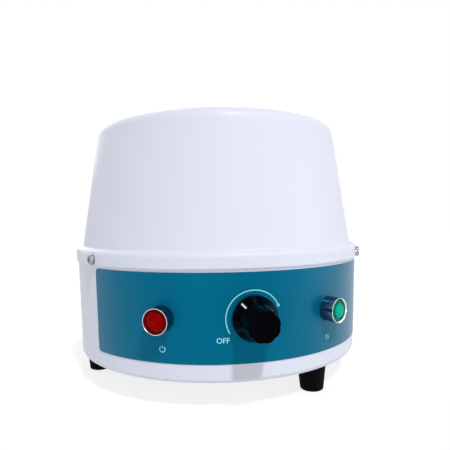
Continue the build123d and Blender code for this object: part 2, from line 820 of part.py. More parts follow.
nut = hex_nut(gland_plane.offset(gland_locknut_face - gland_locknut_height), gland_hex,
              gland_thread_radius + thread_fit, gland_locknut_height)
with BuildPart() as gland_locknut:
    add(nut)
save(gland_locknut, "gland_locknut")

# ---- Partition plate, drum, insulation and nest -------------------------------------------

nest_top_z = cover_top_z - mouth_lip_depth - nest_gap
nest_radius = flask_radius + nest_fit
nest_outer_radius = nest_radius + nest_thickness
element_sphere = nest_outer_radius + element_fit + element_bead_radius
cavity_radius = element_sphere + element_bead_radius + element_fit
drum_inner_radius = drum_radius - drum_sheet
drum_top_z = cover_top_z - sheet - drum_gap
collar_radius = drum_inner_radius - soft_fit
collar_bottom_z = nest_top_z - nest_thickness
plate_radius = cone_base_radius - sheet - plate_edge_clearance

with BuildPart() as partition_plate:
    with BuildSketch(Plane.XY.offset(pan_top_z)):
        Circle(plate_radius)
        Circle(grommet_neck_radius + seat, mode=Mode.SUBTRACT)
        with Locations(*partition_points):
            Circle(m3_radius + bolt_fit, mode=Mode.SUBTRACT)
    extrude(amount=plate_thickness)
save(partition_plate, "partition_plate")

partition_screw_length = plate_thickness + sheet + m3_nut_height + thread_end
screws = [
    pan_head_screw(Plane((x, y, plate_top_z)), m3_radius, partition_screw_length,
                   m3_head_radius, m3_head_height)
    for x, y in partition_points
]
with BuildPart() as partition_screws:
    add(screws)
save(partition_screws, "partition_screws")

nuts = [
    hex_nut(Plane((x, y, pan_top_z - sheet - m3_nut_height)), m3_nut_across_flats,
            m3_radius + thread_fit, m3_nut_height)
    for x, y in partition_points
]
with BuildPart() as partition_nuts:
    add(nuts)
save(partition_nuts, "partition_nuts")

with BuildPart() as nest_drum:
    with BuildSketch(Plane.XZ):
        with BuildLine():
            FilletPolyline(
                (grommet_neck_radius + seat, plate_top_z),
                (drum_radius, plate_top_z),
                (drum_radius, drum_top_z),
                radius=drum_corner_radius,
            )
            offset(amount=-drum_sheet, side=Side.LEFT)
        make_face()
    revolve(axis=Axis.Z)
save(nest_drum, "nest_drum")

insulation_bottom_z = plate_top_z + drum_sheet + seat
lead_hole_radius = grommet_flange_radius + soft_fit
with BuildPart() as insulation:
    with BuildSketch(Plane.XY.offset(insulation_bottom_z)):
        Circle(collar_radius)
    extrude(amount=collar_bottom_z - seat - insulation_bottom_z)
    fillet(insulation.faces().sort_by(Axis.Z)[0].edges(), drum_corner_radius)
    with BuildSketch(Plane.XZ):
        with Locations((0, nest_top_z)):
            Circle(cavity_radius)
        split(bisect_by=Plane.YZ, keep=Keep.TOP)
    revolve(axis=Axis.Z, mode=Mode.SUBTRACT)
    with BuildSketch(Plane.XY.offset(insulation_bottom_z)):
        Circle(lead_hole_radius)
    extrude(amount=nest_top_z - insulation_bottom_z, mode=Mode.SUBTRACT)
save(insulation, "insulation")

collar_meeting_radius = sqrt(nest_outer_radius**2 - nest_thickness**2)
with BuildPart() as heating_nest:
    with BuildSketch(Plane.XZ):
        with BuildLine():
            CenterArc((0, nest_top_z), nest_radius, -90, 90)
            Line((nest_radius, nest_top_z), (collar_radius, nest_top_z))
            Line((collar_radius, nest_top_z), (collar_radius, collar_bottom_z))
            Line((collar_radius, collar_bottom_z), (collar_meeting_radius, collar_bottom_z))
            ThreePointArc(
                (collar_meeting_radius, collar_bottom_z),
                (nest_outer_radius * sin(pi / 4), nest_top_z - nest_outer_radius * cos(pi / 4)),
                (0, nest_top_z - nest_outer_radius),
            )
            Line((0, nest_top_z - nest_outer_radius), (0, nest_top_z - nest_radius))
        make_face()
    revolve(axis=Axis.Z)
    top_edges = heating_nest.edges().filter_by(GeomType.CIRCLE).group_by(Axis.Z)[-1]
    fillet(top_edges.sort_by(SortBy.RADIUS)[0], nest_lip_radius)
save(heating_nest, "heating_nest")

# ---- Heating element: rows round the nest, linked end to end ------------------------------

sphere_centre = Vector(0, 0, nest_top_z)


def element_point(row_angle, across):
    """Point on the element's sphere, in its gap: `across` is the distance from the gap's middle."""
    row_radius = element_sphere * sin(radians(row_angle))
    return Vector(
        sqrt(row_radius**2 - across**2),
        across,
        nest_top_z - element_sphere * cos(radians(row_angle)),
    )


def element_wire(start, axis, angle):
    """Wire of the element, round the axis from a start point through the angle, in degrees."""
    direction = axis.direction.cross(start - axis.position)
    with BuildPart() as piece:
        with BuildSketch(Plane(start, z_dir=direction)):
            Circle(element_radius)
        revolve(axis=axis, revolution_arc=angle)
    return piece.part


def element_row(row_angle, from_across, to_across):
    """Row of wire round the nest, the long way from one side of the gap to the other."""
    row_radius = element_sphere * sin(radians(row_angle))
    inset = degrees(element_bead_inset / row_radius)
    start = element_point(row_angle, from_across).rotate(Axis.Z, inset)
    row_sweep = 360 - degrees(asin(from_across / row_radius) + asin(to_across / row_radius))
    return element_wire(start, Axis.Z, row_sweep - 2 * inset)


def element_link(start, end, beads):
    """Shortest wire over the sphere between two points, with a bead at one or both of them."""
    first = start - sphere_centre
    second = end - sphere_centre
    inset = degrees(element_bead_inset / element_sphere)
    axis = Axis(sphere_centre, first.cross(second))
    angle = first.get_angle(second) - beads * inset
    trimmed = first.rotate(Axis((0, 0, 0), axis.direction), inset)
    return element_wire(sphere_centre + trimmed, axis, angle)


lead_polar = degrees(asin(lead_spacing / element_sphere))
lead_top = nest_top_z - element_sphere * cos(radians(lead_polar))
outer_row, inner_row = element_row_angles[0], element_row_angles[-1]
wire_pieces = []
bead_points = []
side = 1
for row_number, row_angle in enumerate(element_row_angles):
    far = 0 if row_angle == outer_row else element_gap_half
    wire_pieces.append(element_row(row_angle, element_gap_half, far))
    bead_points += [element_point(row_angle, element_gap_half), element_point(row_angle, -far)]
    if row_angle != inner_row:
        next_row = element_row_angles[row_number + 1]
        wire_pieces.append(element_link(element_point(row_angle, side * element_gap_half),
                                        element_point(next_row, side * element_gap_half), 2))
        side = -side
return_end = Vector(0, -lead_spacing, lead_top)
tail_end = Vector(0, lead_spacing, lead_top)
wire_pieces.append(element_link(element_point(outer_row, 0), return_end, 1))
wire_pieces.append(element_link(element_point(inner_row, element_gap_half), tail_end, 1))

with BuildPart() as heating_element:
    add(wire_pieces)
    with Locations(*bead_points):
        Sphere(element_bead_radius)
save(heating_element, "heating_element")

# ---- Grommet in the partition -------------------------------------------------------------

grommet_groove_bottom = pan_top_z - seat
grommet_groove_top = plate_top_z + drum_sheet + seat
with BuildPart() as lead_grommet:
    with BuildSketch(Plane.XY.offset(grommet_groove_bottom - grommet_flange_height)):
        Circle(grommet_flange_radius)
    extrude(amount=grommet_flange_height)
    with BuildSketch(Plane.XY.offset(grommet_groove_top)):
        Circle(grommet_flange_radius)
    extrude(amount=grommet_flange_height)
    with BuildSketch(Plane.XY.offset(grommet_groove_bottom)):
        Circle(grommet_neck_radius)
    extrude(amount=grommet_groove_top - grommet_groove_bottom)
    with BuildSketch(Plane.XY.offset(grommet_groove_bottom - grommet_flange_height)):
        Circle(grommet_bore_radius)
    extrude(amount=2 * grommet_flange_height + grommet_groove_top - grommet_groove_bottom,
            mode=Mode.SUBTRACT)
save(lead_grommet, "lead_grommet")

# ---- Terminal block -----------------------------------------------------------------------

block_front_y = block_y - block_depth / 2
block_back_y = block_y + block_depth / 2
block_top_z = floor_top_z + seat + block_height
way_z = floor_top_z + way_rise
clamp_points = [
    (x, end_y)
    for x in way_x.values()
    for end_y in (block_front_y + clamp_screw_inset, block_back_y - clamp_screw_inset)
]
clamp_screw_bottom = way_z + way_radius + clamp_screw_floor

with BuildPart() as terminal_block:
    with BuildSketch(Plane.XY.offset(floor_top_z + seat)):
        with Locations((0, block_y)):
            Rectangle(block_width, block_depth)
        with Locations(*block_screw_points):
            Circle(m3_radius + bolt_fit, mode=Mode.SUBTRACT)
    extrude(amount=block_height)
    fillet(terminal_block.edges().filter_by(Axis.Z).filter_by(GeomType.LINE), block_edge_radius)
    with BuildSketch(Plane.XZ.offset(-block_front_y)):
        with Locations(*[(x, way_z) for x in way_x.values()]):
            Circle(way_radius)
    extrude(amount=-way_depth, mode=Mode.SUBTRACT)
    with BuildSketch(Plane.XZ.offset(-block_back_y)):
        with Locations(*[(x, way_z) for x in way_x.values()]):
            Circle(way_radius)
    extrude(amount=way_depth, mode=Mode.SUBTRACT)
    with BuildSketch(Plane.XY.offset(block_top_z)):
        with Locations(*clamp_points):
            Circle(clamp_screw_radius + clamp_screw_fit)
    extrude(amount=clamp_screw_bottom - seat - block_top_z, mode=Mode.SUBTRACT)
save(terminal_block, "terminal_block")

with BuildPart() as clamp_screws:
    with BuildSketch(Plane.XY.offset(clamp_screw_bottom)):
        with Locations(*clamp_points):
            Circle(clamp_screw_radius)
    extrude(amount=clamp_screw_length)
    with BuildSketch(Plane.XY.offset(clamp_screw_bottom + clamp_screw_length)):
        with Locations(*clamp_points):
            Rectangle(2 * (clamp_screw_radius + clamp_screw_fit), clamp_slot_width)
    extrude(amount=-clamp_slot_depth, mode=Mode.SUBTRACT)
save(clamp_screws, "clamp_screws")

block_screw_length = sheet + seat + block_height + m3_nut_height + thread_end
screws = [
    pan_head_screw(Plane((x, y, floor_z), z_dir=(0, 0, -1)), m3_radius, block_screw_length,
                   m3_head_radius, m3_head_height)
    for x, y in block_screw_points
]
with BuildPart() as block_screws:
    add(screws)
save(block_screws, "block_screws")

nuts = [
    hex_nut(Plane((x, y, block_top_z)), m3_nut_across_flats, m3_radius + thread_fit, m3_nut_height)
    for x, y in block_screw_points
]
with BuildPart() as block_nuts:
    add(nuts)
save(block_nuts, "block_nuts")

# ---- Earth stud ---------------------------------------------------------------------------

tag_bottom_z = floor_top_z + m4_nut_height + seat
tag_top_z = tag_bottom_z + earth_tag_thickness
barrel_radius = wire_radius + bolt_fit + earth_barrel_wall
barrel_z = tag_bottom_z + barrel_radius
barrel_start_x = earth_x + earth_tag_radius
barrel_end_x = barrel_start_x + earth_barrel_length
stud_length = tag_top_z + m4_nut_height + thread_end - floor_z
stud = pan_head_screw(Plane((earth_x, earth_y, floor_z), z_dir=(0, 0, -1)), m4_radius,
                      stud_length, m4_head_radius, m4_head_height)
with BuildPart() as earth_stud:
    add(stud)
save(earth_stud, "earth_stud")

nuts = [
    hex_nut(Plane((earth_x, earth_y, z)), m4_nut_across_flats, m4_radius + thread_fit, m4_nut_height)
    for z in (floor_top_z, tag_top_z + seat)
]
with BuildPart() as earth_nuts:
    add(nuts)
save(earth_nuts, "earth_nuts")

with BuildPart() as earth_tag:
    with BuildSketch(Plane.XY.offset(tag_bottom_z)):
        with Locations((earth_x, earth_y)):
            Circle(earth_tag_radius)
            Circle(m4_radius + bolt_fit, mode=Mode.SUBTRACT)
        with Locations((barrel_start_x, earth_y)):
            Rectangle(earth_tag_neck, 2 * barrel_radius)
    extrude(amount=earth_tag_thickness)
    with BuildSketch(Plane((barrel_start_x, earth_y, barrel_z), z_dir=(1, 0, 0))):
        Circle(barrel_radius)
    extrude(amount=earth_barrel_length)
    with BuildSketch(Plane((barrel_end_x, earth_y, barrel_z), z_dir=(-1, 0, 0))):
        Circle(wire_radius + bolt_fit)
    extrude(amount=earth_barrel_depth, mode=Mode.SUBTRACT)
save(earth_tag, "earth_tag")

# ---- Internal wiring ----------------------------------------------------------------------

way_front_end_y = block_front_y + way_depth - wire_end_gap
way_back_end_y = block_back_y - way_depth + wire_end_gap
lead_in_y = block_front_y - wire_lead_in


def wire(points):
    """Insulated wire along straight runs joined by tangent arcs."""
    with BuildPart() as run:
        with BuildLine() as path:
            FilletPolyline(*points, radius=wire_bend_radius)
        with BuildSketch(Plane(path.line @ 0, z_dir=path.line % 0)):
            Circle(wire_radius)
        sweep(path=path.line)
    return run


# regulator to the front of the terminal block: supply on the left, load on the right
tab_end_height = regulator_back - regulator_tab_length - wire_gap
for name, side, row, way in (
    ("supply_wire_live", -1, 1, "live_in"),
    ("supply_wire_neutral", -1, -1, "neutral_in"),
    ("load_wire_neutral", 1, -1, "neutral_out"),
    ("load_wire_live", 1, 1, "live_out"),
):
    tab_x, tab_y = side * regulator_tab_x, row * regulator_tab_y
    end_x = way_x[way] - side * wire_pair_half
    save(
        wire([
            knob_plane.from_local_coords((tab_x, tab_y, tab_end_height)),
            knob_plane.from_local_coords((tab_x, tab_y, tab_end_height - wire_lead_out)),
            (end_x, lead_in_y, way_z),
            (end_x, way_front_end_y, way_z),
        ]),
        name,
    )

# lamps to the front of the block: the outer tab's wire falls straight to its way, the
# inner tab's wire crosses under the others along the floor
lamp_tab_end = holder_end - lamp_tab_length - wire_gap
low_wire_z = floor_top_z + wire_radius + wire_floor_clearance
for name, side, inner_way, outer_way in (
    ("power", -1, "neutral_in", "live_in"),
    ("pilot", 1, "neutral_out", "live_out"),
):
    plane = wall_plane(side * lamp_angle, panel_z)
    half = lamp_tab_spacing / 2
    outer_start = plane.from_local_coords((side * half, 0, lamp_tab_end))
    outer_turn = plane.from_local_coords((side * half, 0, lamp_tab_end - wire_lead_out))
    inner_start = plane.from_local_coords((-side * half, 0, lamp_tab_end))
    inner_turn = plane.from_local_coords((-side * half, 0, lamp_tab_end - wire_lead_out))
    inner_low = plane.from_local_coords((-side * half, 0, lamp_tab_end - 2 * wire_lead_out))
    outer_x = way_x[outer_way] + side * wire_pair_half
    inner_x = way_x[inner_way] + side * wire_pair_half
    save(
        wire([
            outer_start,
            outer_turn,
            (outer_x, lead_in_y, way_z),
            (outer_x, way_front_end_y, way_z),
        ]),
        f"{name}_lamp_wire_live",
    )
    save(
        wire([
            inner_start,
            inner_turn,
            (inner_low.X, inner_low.Y, low_wire_z),
            (inner_x, lead_in_y - wire_lead_in, low_wire_z),
            (inner_x, lead_in_y, way_z),
            (inner_x, way_front_end_y, way_z),
        ]),
        f"{name}_lamp_wire_neutral",
    )

# heater leads: down through the grommet, across under the partition, to the block's back
lead_start_z = lead_top - element_radius - wire_gap
for name, side, way, cross_z in (
    ("neutral", 1, "neutral_out", lead_cross_z),
    ("live", -1, "live_out", lead_cross_z - lead_cross_step),
):
    save(
        wire([
            (0, side * lead_spacing, lead_start_z),
            (0, side * lead_spacing, cross_z),
            (way_x[way], lead_drop_y, cross_z),
            (way_x[way], lead_drop_y, way_z),
            (way_x[way], way_back_end_y, way_z),
        ]),
        f"heater_lead_{name}",
    )

save(
    wire([
        (way_x["earth"], way_back_end_y, way_z),
        (way_x["earth"], earth_y, barrel_z),
        (barrel_end_x - earth_barrel_depth + wire_end_gap, earth_y, barrel_z),
    ]),
    "earth_lead",
)
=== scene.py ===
import json
import math

import bmesh
import bpy
from mathutils import Matrix, Vector


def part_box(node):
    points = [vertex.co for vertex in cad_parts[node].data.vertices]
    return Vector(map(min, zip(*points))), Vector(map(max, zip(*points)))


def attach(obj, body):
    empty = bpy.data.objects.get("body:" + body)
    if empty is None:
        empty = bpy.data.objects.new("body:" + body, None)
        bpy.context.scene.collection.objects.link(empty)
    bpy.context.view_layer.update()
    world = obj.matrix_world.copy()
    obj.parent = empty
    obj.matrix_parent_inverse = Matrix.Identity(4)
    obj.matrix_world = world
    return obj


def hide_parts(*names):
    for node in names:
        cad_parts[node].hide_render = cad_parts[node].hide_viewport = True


# Looks of the heating mantle.  Everything is in metres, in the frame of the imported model:
# +Z up, the control panel faces -Y, the bench is z = 0.

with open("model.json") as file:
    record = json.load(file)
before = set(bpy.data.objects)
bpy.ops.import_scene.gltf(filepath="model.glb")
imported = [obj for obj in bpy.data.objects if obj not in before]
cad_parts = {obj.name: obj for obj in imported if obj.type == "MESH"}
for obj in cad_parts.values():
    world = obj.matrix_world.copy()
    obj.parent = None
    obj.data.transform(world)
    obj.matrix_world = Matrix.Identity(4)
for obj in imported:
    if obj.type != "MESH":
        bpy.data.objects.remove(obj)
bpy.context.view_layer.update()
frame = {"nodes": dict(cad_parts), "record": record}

MM = 0.001

# ---- Sizes taken from the frame, or shared with it -----------------------------------------

LABEL_LOW, LABEL_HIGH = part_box("control_label")
PANEL_Z = 60.0 * MM                 # height of the row of controls
WALL_DRAFT = math.radians(1.75)     # lean of the pan's wall
LAMP_ANGLE = math.radians(29.6)     # either lamp, round the pan from the knob
SHARP_ANGLE = math.radians(24.0)    # edges of turned parts steeper than this stay crisp
LABEL_FACE = 0.37 * MM              # outer face of the label above the bare wall
WALL_RADIUS = -LABEL_LOW.y - LABEL_FACE - (LABEL_HIGH.z - PANEL_Z) * math.tan(WALL_DRAFT)


# ---- Materials -----------------------------------------------------------------------------

class Surface:
    """A Principled material with its node tree at hand."""

    def __init__(self, name, color, roughness, **settings):
        self.material = bpy.data.materials.new(name)
        self.material.use_nodes = True
        self.tree = self.material.node_tree
        self.shader = self.tree.nodes["Principled BSDF"]
        self.shader.inputs["Base Color"].default_value = (*color, 1.0)
        self.shader.inputs["Roughness"].default_value = roughness
        for socket, value in settings.items():
            self.shader.inputs[socket.replace("_", " ")].default_value = value
        self.place = self.node("ShaderNodeTexCoord").outputs["Object"]

    def node(self, kind, **inputs):
        made = self.tree.nodes.new(kind)
        for socket, value in inputs.items():
            made.inputs[socket.replace("_", " ")].default_value = value
        return made

    def link(self, output, target):
        self.tree.links.new(output, target)

    def noise(self, scale, detail=3.0, stretch=(1.0, 1.0, 1.0)):
        """Noise over the object's own coordinates, `scale` cells to the metre."""
        mapping = self.node("ShaderNodeMapping")
        mapping.inputs["Scale"].default_value = stretch
        texture = self.node("ShaderNodeTexNoise", Scale=scale, Detail=detail)
        self.link(self.place, mapping.inputs["Vector"])
        self.link(mapping.outputs["Vector"], texture.inputs["Vector"])
        return texture.outputs["Fac"]

    def spread(self, source, low, high):
        """Maps 0..1 onto low..high."""
        mapped = self.node("ShaderNodeMapRange", To_Min=low, To_Max=high)
        self.link(source, mapped.inputs["Value"])
        return mapped.outputs["Result"]

    def tint(self, source, dark, light):
        """Base colour that drifts between two tones."""
        ramp = self.node("ShaderNodeMix")
        ramp.data_type = "RGBA"
        ramp.inputs["A"].default_value = (*dark, 1.0)
        ramp.inputs["B"].default_value = (*light, 1.0)
        self.link(source, ramp.inputs["Factor"])
        self.link(ramp.outputs["Result"], self.shader.inputs["Base Color"])

    def vary_roughness(self, source, low, high):
        self.link(self.spread(source, low, high), self.shader.inputs["Roughness"])

    def bump(self, source, depth, strength=1.0):
        """Relief of this depth in metres, added to any relief already there."""
        relief = self.node("ShaderNodeBump", Strength=strength, Distance=depth)
        self.link(source, relief.inputs["Height"])
        normal = self.shader.inputs["Normal"]
        if normal.is_linked:
            self.link(normal.links[0].from_socket, relief.inputs["Normal"])
        self.link(relief.outputs["Normal"], normal)


def add_object(name, data):
    """New object on the scene's collection."""
    piece = bpy.data.objects.new(name, data)
    bpy.context.scene.collection.objects.link(piece)
    return piece


def shade(color, factor):
    return tuple(min(1.0, channel * factor) for channel in color)


def powder_coat():
    """Satin white powder coat with a faint orange peel."""
    white = (0.745, 0.774, 0.885)
    coat = Surface("powder_coat", white, 0.42, Specular_IOR_Level=0.20, Coat_Weight=0.04,
                   Coat_Roughness=0.2)
    coat.tint(coat.noise(14.0), shade(white, 0.985), shade(white, 1.01))
    coat.vary_roughness(coat.noise(60.0), 0.36, 0.44)
    coat.bump(coat.noise(420.0, 2.0), 0.00012, 0.35)
    return coat.material


def overlay():
    """Printed polyester overlay with a fine satin grain."""
    teal = (0.0, 0.107, 0.204)
    film = Surface("overlay", teal, 0.30, Specular_IOR_Level=0.75,
                   Specular_Tint=(0.02, 0.68, 1.0, 1.0))
    film.tint(film.noise(22.0), shade(teal, 0.96), shade(teal, 1.04))
    film.vary_roughness(film.noise(900.0, 2.0), 0.27, 0.34)
    film.bump(film.noise(2600.0, 1.0), 0.00002, 0.4)
    return film.material


def moulded(name, color, roughness, grain=1400.0, depth=0.00003, **settings):
    """Moulded plastic with a fine spark-eroded grain."""
    plastic = Surface(name, color, roughness, **settings)
    plastic.tint(plastic.noise(90.0), shade(color, 0.92), shade(color, 1.06))
    plastic.vary_roughness(plastic.noise(300.0), roughness * 0.88, roughness * 1.12)
    plastic.bump(plastic.noise(grain, 2.0), depth, 0.5)
    return plastic.material


def rubber():
    """Matt rubber with a chalky bloom."""
    black = (0.0008, 0.0008, 0.0010)
    soft = Surface("rubber", black, 0.72, Specular_IOR_Level=0.05)
    soft.tint(soft.noise(130.0), black, (0.0025, 0.0025, 0.0025))
    soft.vary_roughness(soft.noise(200.0), 0.62, 0.80)
    soft.bump(soft.noise(1500.0), 0.00006, 0.5)
    return soft.material


def metal(name, color, roughness, stretch=(1.0, 1.0, 1.0), streak=700.0, depth=0.00001):
    """Bare metal with fine streaks left by rolling, turning or plating."""
    bare = Surface(name, color, roughness, Metallic=1.0)
    bare.tint(bare.noise(80.0), shade(color, 0.93), shade(color, 1.05))
    bare.vary_roughness(bare.noise(streak, 2.0, stretch), roughness * 0.7, roughness * 1.3)
    bare.bump(bare.noise(streak, 2.0, stretch), depth, 0.4)
    return bare.material


def lens(name, color, glow, tinge):
    """Clear coloured moulding of a signal lamp."""
    clear = Surface(name, color, 0.22, Transmission_Weight=0.15, IOR=1.49,
                    Specular_IOR_Level=0.04, Specular_Tint=(*tinge, 1.0))
    clear.shader.inputs["Emission Color"].default_value = (*color, 1.0)
    clear.shader.inputs["Emission Strength"].default_value = glow
    clear.tint(clear.noise(350.0), shade(color, 0.85), shade(color, 1.15))
    clear.bump(clear.noise(500.0, 1.0), 0.00003, 0.3)
    return clear.material


def glass_yarn():
    """Braided glass yarn: fine fibres, with painted shade in the grooves between its rows."""
    pale = (0.78, 0.76, 0.69)
    yarn = Surface("glass_yarn", pale, 0.78, Sheen_Weight=0.25, Sheen_Roughness=0.5)
    stand = yarn.node("ShaderNodeAttribute")
    stand.attribute_name = "relief"
    fibres = yarn.noise(1800.0, 4.0, (1.0, 1.0, 0.25))
    groove_shade = yarn.node("ShaderNodeMath")
    groove_shade.operation = "MULTIPLY"
    yarn.link(stand.outputs["Fac"], groove_shade.inputs[0])
    yarn.link(yarn.spread(fibres, 0.75, 1.2), groove_shade.inputs[1])
    # the dark tone is painted shade, strongest in the grooves between the rows of yarn
    yarn.tint(groove_shade.outputs[0], (0.40, 0.38, 0.33), pale)
    yarn.vary_roughness(fibres, 0.68, 0.88)
    yarn.bump(fibres, 0.0004, 0.6)
    return yarn.material


def fibrous(name, dark, light, scale, stretch, depth):
    """Fabric or wool: long fibres, no gloss."""
    cloth = Surface(name, light, 0.92, Sheen_Weight=0.3, Sheen_Roughness=0.6)
    cloth.tint(cloth.noise(scale, 5.0, stretch), dark, light)
    cloth.bump(cloth.noise(scale, 5.0, stretch), depth, 0.8)
    return cloth.material


ZINC = (0.60, 0.61, 0.62)
BRASS = (0.62, 0.47, 0.21)
MATERIALS = {
    "body_paint": powder_coat(),
    "label_teal": overlay(),
    "plated_steel": metal("zinc_plate", ZINC, 0.28),
    "foot_rubber": rubber(),
    "black_moulding": moulded("black_moulding", (0.008, 0.008, 0.009), 0.45,
                              Specular_IOR_Level=0.3),
    "brass": metal("brass", BRASS, 0.25),
    # the purple-blue specular tint of the knob is a painted reflection of a bluish window
    "knob_black": moulded("knob_moulding", (0.0006, 0.0006, 0.001), 0.20, depth=0.00002,
                          Specular_IOR_Level=0.03, Specular_Tint=(0.62, 0.58, 1.0, 1.0)),
    "pointer_white": moulded("pointer_paint", (0.75, 0.78, 0.80), 0.45),
    "black_nylon": moulded("nylon", (0.009, 0.009, 0.010), 0.50, grain=700.0,
                           Specular_IOR_Level=0.3),
    "bare_aluminium": metal("aluminium", (0.66, 0.67, 0.68), 0.32, stretch=(1.0, 1.0, 9.0)),
    "mineral_wool": fibrous("mineral_wool", (0.42, 0.38, 0.28), (0.62, 0.58, 0.46), 220.0,
                            (1.0, 1.0, 4.0), 0.0012),
    "glass_cloth": fibrous("glass_cloth", (0.62, 0.61, 0.56), (0.80, 0.79, 0.74), 500.0,
                           (1.0, 1.0, 3.0), 0.0005),
    "resistance_wire": metal("resistance_wire", (0.20, 0.19, 0.18), 0.45),
    "pale_moulding": moulded("pale_moulding", (0.62, 0.59, 0.50), 0.50),
    "lamp_chrome": metal("lamp_chrome", (0.82, 0.83, 0.85), 0.10),
    # the bezel's barrel is chrome: its dark navy colour is a painted reflection of the teal label
    # and the dark surroundings
    "lamp_barrel": metal("lamp_barrel", (0.045, 0.12, 0.205), 0.24),
    "lens_red": lens("lens_red", (0.20, 0.0, 0.0), 0.10, (1.0, 0.15, 0.1)),
    "lens_green": lens("lens_green", (0.0, 0.26, 0.17), 0.35, (0.3, 1.0, 0.8)),
    "wire_brown": moulded("wire_brown", (0.09, 0.035, 0.012), 0.42),
    "wire_blue": moulded("wire_blue", (0.012, 0.05, 0.28), 0.42),
    "wire_green": moulded("wire_green", (0.02, 0.20, 0.03), 0.42),
}


def dress(piece, material):
    """Gives a piece its one material."""
    piece.data.materials.clear()
    piece.data.materials.append(material)


for part in frame["record"]["subparts"]:
    dress(frame["nodes"][part["node"]], MATERIALS[part["material_slot"]])
# the rim screws are nickel plated: their dark grey is painted dark reflection and painted shade in
# the cross recesses
dress(frame["nodes"]["rim_screws"], metal("nickel_painted_dark_reflection", (0.36, 0.36, 0.37), 0.12))

# ---- Turned parts on the control panel ------------------------------------------------------

def panel_point(turn, height, radius, angle):
    """Point round an axis that stands on the wall at `turn`, `height` above the bare wall."""
    out = Vector((math.sin(turn) * math.cos(WALL_DRAFT), -math.cos(turn) * math.cos(WALL_DRAFT),
                  -math.sin(WALL_DRAFT)))
    across = Vector((math.cos(turn), math.sin(turn), 0.0))
    rise = across.cross(out) * -1.0
    foot = Vector((WALL_RADIUS * math.sin(turn), -WALL_RADIUS * math.cos(turn), PANEL_Z))
    return foot + height * out + radius * (math.cos(angle) * across + math.sin(angle) * rise)


def turned(name, turn, profile, materials, segments, body, closed=False, radius_at=None):
    """Mesh turned from (radius, height, material) rows in mm; rows at radius 0 become points."""
    vertices, rings, faces, finishes = [], [], [], []
    for radius, height, _ in profile:
        count = segments if radius > 0 else 1
        rings.append(list(range(len(vertices), len(vertices) + count)))
        for step in range(count):
            angle = 2 * math.pi * step / segments
            reach = radius_at(radius, height, angle) if radius_at else radius
            vertices.append(panel_point(turn, height * MM, reach * MM, angle))
    pairs = list(zip(rings, rings[1:], (row[2] for row in profile)))
    if closed:
        pairs.append((rings[-1], rings[0], profile[-1][2]))
    for first, second, finish in pairs:
        for step in range(segments):
            after = (step + 1) % segments
            face = [first[step % len(first)], first[after % len(first)],
                    second[after % len(second)], second[step % len(second)]]
            faces.append(list(dict.fromkeys(face)))
            finishes.append(finish)
    mesh = bpy.data.meshes.new(name)
    mesh.from_pydata(vertices, [], faces)
    for material in materials:
        mesh.materials.append(material)
    mesh.polygons.foreach_set("material_index", finishes)
    mesh.shade_smooth()
    mesh.set_sharp_from_angle(angle=SHARP_ANGLE)
    mesh.update()
    piece = add_object(name, mesh)
    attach(piece, body)
    return piece


# Profiles from here to the set screw are in mm, with heights above the bare wall.
LAMP_SEGMENTS = 96
LAMP_TOP = 10.39                    # rim of a bezel
LAMP_STEM_END = -11.2               # inner end of a bezel, behind the wall
BEZEL_FOOT = 0.39                   # on the label
BEZEL_RADIUS = 8.5
STEM_RADIUS = 7.2
STEM_BORE = 6.2
WELL_RADIUS = 7.2                   # wide bore that the lens sits in
WELL_FLOOR = LAMP_TOP - 4.4
LENS_END = LAMP_TOP - 7.4
LENS_STEM_RADIUS = 6.1
LENS_RADIUS = 7.1
LENS_SEAT = LAMP_TOP - 4.38
TUBE, RIM = 0, 1
FLANK, BOSS = 0, 1
bezel_profile = [
    (BEZEL_RADIUS, BEZEL_FOOT, TUBE), (BEZEL_RADIUS, LAMP_TOP - 0.30, RIM),
    (8.42, LAMP_TOP - 0.08, RIM), (8.25, LAMP_TOP, RIM), (8.08, LAMP_TOP - 0.05, RIM),
    (7.88, LAMP_TOP - 0.35, RIM), (7.25, LAMP_TOP - 1.75, RIM), (WELL_RADIUS, WELL_FLOOR, RIM),
    (STEM_BORE, WELL_FLOOR, RIM), (STEM_BORE, LAMP_STEM_END, RIM),
    (STEM_RADIUS, LAMP_STEM_END, RIM), (STEM_RADIUS, BEZEL_FOOT, RIM),
]
lens_profile = [
    (0, LENS_END, FLANK), (LENS_STEM_RADIUS, LENS_END, FLANK),
    (LENS_STEM_RADIUS, LENS_SEAT, FLANK), (LENS_RADIUS, LENS_SEAT, FLANK),
    (LENS_RADIUS, LAMP_TOP - 2.0, FLANK), (6.8, LAMP_TOP - 1.8, FLANK),
    (5.0, LAMP_TOP - 0.55, FLANK), (4.75, LAMP_TOP - 0.25, BOSS), (4.6, LAMP_TOP + 0.25, BOSS),
    (4.35, LAMP_TOP + 0.42, BOSS), (3.4, LAMP_TOP + 0.45, BOSS), (3.15, LAMP_TOP + 0.1, BOSS),
    (2.9, LAMP_TOP + 0.45, BOSS), (2.0, LAMP_TOP + 0.68, BOSS), (1.0, LAMP_TOP + 0.8, BOSS),
    (0, LAMP_TOP + 0.84, BOSS),
]
